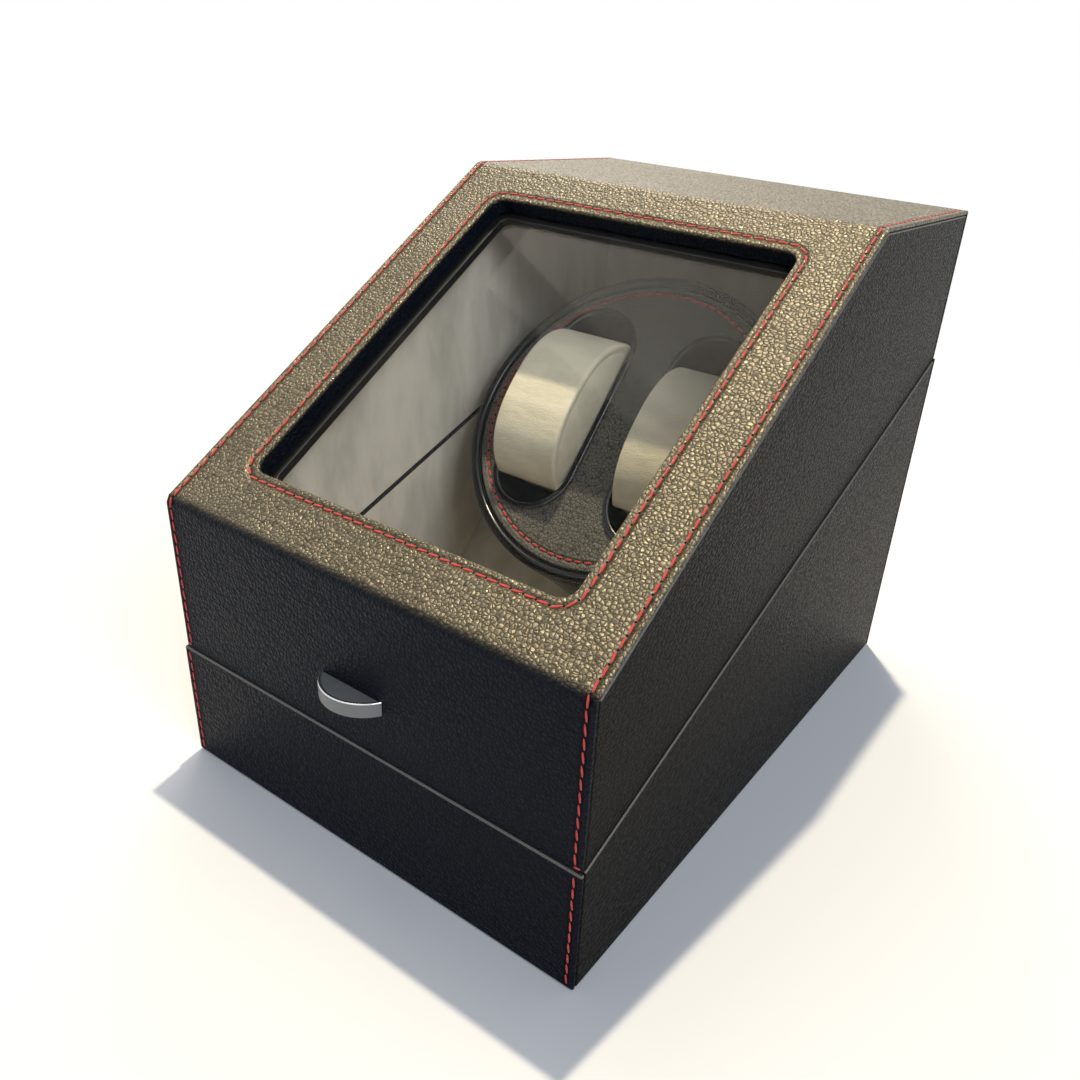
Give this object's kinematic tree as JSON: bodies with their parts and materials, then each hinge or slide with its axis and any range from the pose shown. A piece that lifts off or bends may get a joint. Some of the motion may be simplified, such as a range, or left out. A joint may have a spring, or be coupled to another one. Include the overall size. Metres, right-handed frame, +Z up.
{
  "type": "watch winder box",
  "caption": "Leather-covered watch winder box with a slanted windowed lid over a motor-driven turntable that carries watch pillows in cups.",
  "frame": {"origin": "middle of the felt underside, on the surface that the box stands on", "axes": "+Z up, the front with its lift tab looks toward -Y, X runs across the width"},
  "size_m": [0.1714, 0.2602, 0.2],
  "materials": {
    "box_leather": "pebbled faux leather, satin",
    "lid_leather": "pebbled faux leather, satin, red edge stitching",
    "board": "fibreboard",
    "felt": "felt",
    "velvet": "brushed velvet",
    "suede": "light grey suede",
    "glass": "clear",
    "frame_black": "satin black",
    "gloss_black": "polished black",
    "face_leather": "pebbled faux leather, red stitching",
    "polished_metal": "polished",
    "hinge_steel": "nickel plated",
    "screw_steel": "zinc plated",
    "motor_steel": "plain",
    "bronze": "machined",
    "gear_plastic": "natural acetal",
    "circuit_board": "solder mask",
    "selector_plastic": "moulded",
    "control_plastic": "fine texture",
    "spacer_plastic": "nylon"
  },
  "bodies": {
    "base": {"base_floor_board": "board", "base_front_board": "board", "base_back_board": "board", "base_side_boards": "board", "base_front_cover": "box_leather", "base_back_cover": "box_leather", "base_side_covers": "box_leather", "underside_felt": "felt", "base_front_lining": "velvet", "base_side_linings": "velvet", "base_floor_lining": "velvet", "turntable_panel": "board", "turntable_panel_lining": "velvet", "shaft_bush": "bronze", "bush_nut": "hinge_steel", "motor_bracket": "motor_steel", "drive_screws": "screw_steel", "gearbox": "motor_steel", "motor_can": "motor_steel", "control_board": "circuit_board", "board_spacers": "spacer_plastic", "rear_plate": "control_plastic", "rear_plate_screws": "screw_steel", "dc_jack": "control_plastic", "selector_body": "selector_plastic", "switch_housing": "control_plastic", "base_magnets": "polished_metal", "hinge_leaves_base": "hinge_steel", "hinge_pins": "hinge_steel", "hinge_screws_base": "screw_steel"},
    "lid": {"lid_front_board": "board", "lid_slope_board": "board", "lid_top_board": "board", "lid_back_board": "board", "lid_side_boards": "board", "lid_wrap": "lid_leather", "lid_back_cover": "lid_leather", "lid_side_covers": "lid_leather", "lid_front_lining": "velvet", "lid_top_lining": "velvet", "lid_back_lining": "velvet", "lid_side_linings": "velvet", "window_pane": "glass", "window_frame": "frame_black", "lift_tab": "polished_metal", "lid_magnets": "polished_metal", "hinge_leaves_lid": "hinge_steel", "hinge_screws_lid": "screw_steel"},
    "turntable": {"drum_shell": "gloss_black", "drum_rim": "gloss_black", "drum_face": "face_leather", "watch_cups": "gloss_black", "turntable_shaft": "motor_steel", "driven_gear": "gear_plastic", "shaft_clip": "screw_steel"},
    "pinion": {"motor_pinion": "bronze"},
    "left_pillow": {"pillow_left": "suede"},
    "right_pillow": {"pillow_right": "suede"},
    "knob": {"mode_knob": "control_plastic"},
    "rocker": {"power_rocker": "control_plastic"}
  },
  "joints": [
    {"name": "lid_hinge", "type": "hinge", "parent": "base", "child": "lid", "pos_m": [0, 0.1226, 0.1417], "axis": [-1, 0, 0], "range_deg": [0, 100]},
    {"name": "turntable_spin", "type": "hinge", "parent": "base", "child": "turntable", "pos_m": [0, 0.0155, 0.116], "axis": [0, -0.7478, 0.6639], "continuous": true},
    {"name": "pinion_spin", "type": "hinge", "parent": "base", "child": "pinion", "pos_m": [0, -0.00442, 0.09357], "axis": [0, -0.7478, 0.6639], "continuous": true},
    {"name": "left_pillow_lift", "type": "slide", "parent": "turntable", "child": "left_pillow", "axis": [0, -0.7478, 0.6639], "range_m": [0, 0.026]},
    {"name": "right_pillow_lift", "type": "slide", "parent": "turntable", "child": "right_pillow", "axis": [0, -0.7478, 0.6639], "range_m": [0, 0.026]},
    {"name": "mode_knob_turn", "type": "hinge", "parent": "base", "child": "knob", "pos_m": [0, 0.126, 0.062], "axis": [0, 1, 0], "range_deg": [-120, 120]},
    {"name": "power_rocker_tilt", "type": "hinge", "parent": "base", "child": "rocker", "pos_m": [-0.028, 0.1194, 0.062], "axis": [-1, 0, 0], "range_deg": [0, 20]}
  ],
  "couplings": [
    {"joint": "pinion_spin", "follows": "turntable_spin", "ratio": -3}
  ]
}
